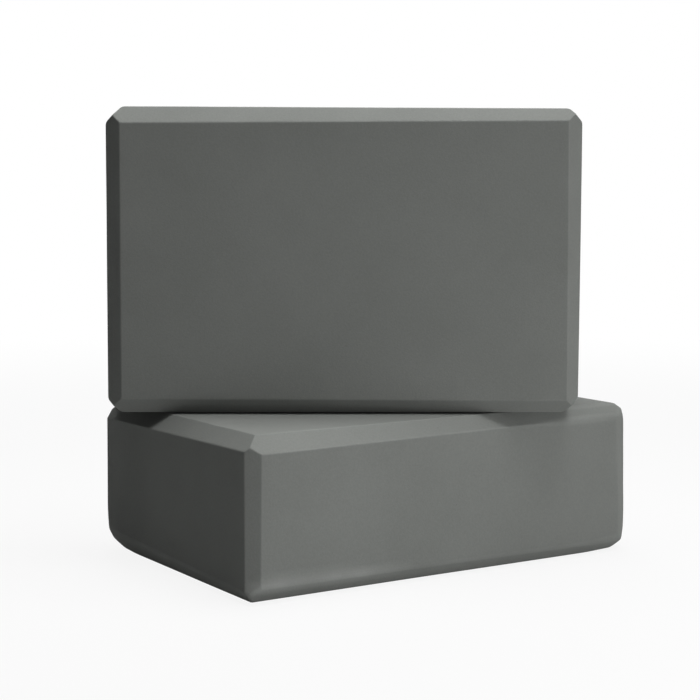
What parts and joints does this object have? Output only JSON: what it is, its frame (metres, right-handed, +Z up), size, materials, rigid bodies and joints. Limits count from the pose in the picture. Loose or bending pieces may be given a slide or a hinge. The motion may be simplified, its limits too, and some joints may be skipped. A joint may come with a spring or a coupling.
{
  "type": "yoga block pair",
  "caption": "Foam yoga blocks with bevelled edges, stacked crosswise: a flat block carries a loose one on its long side, which lifts off, to support a hand, foot or hip.",
  "frame": {"origin": "middle of the lower block's base face, on the floor it lies on", "axes": "+X along the lower block's length, +Y across its width, +Z up"},
  "size_m": [0.2396, 0.1764, 0.22],
  "materials": {
    "foam": "matte closed-cell EVA foam, dark grey"
  },
  "bodies": {
    "lower": {"lower_block": "foam"},
    "upper": {"upper_block": "foam"}
  },
  "joints": [
    {"name": "upper_block_lift", "type": "slide", "parent": "lower", "child": "upper", "axis": [0, 0, 1], "range_m": [0, 0.15]}
  ]
}
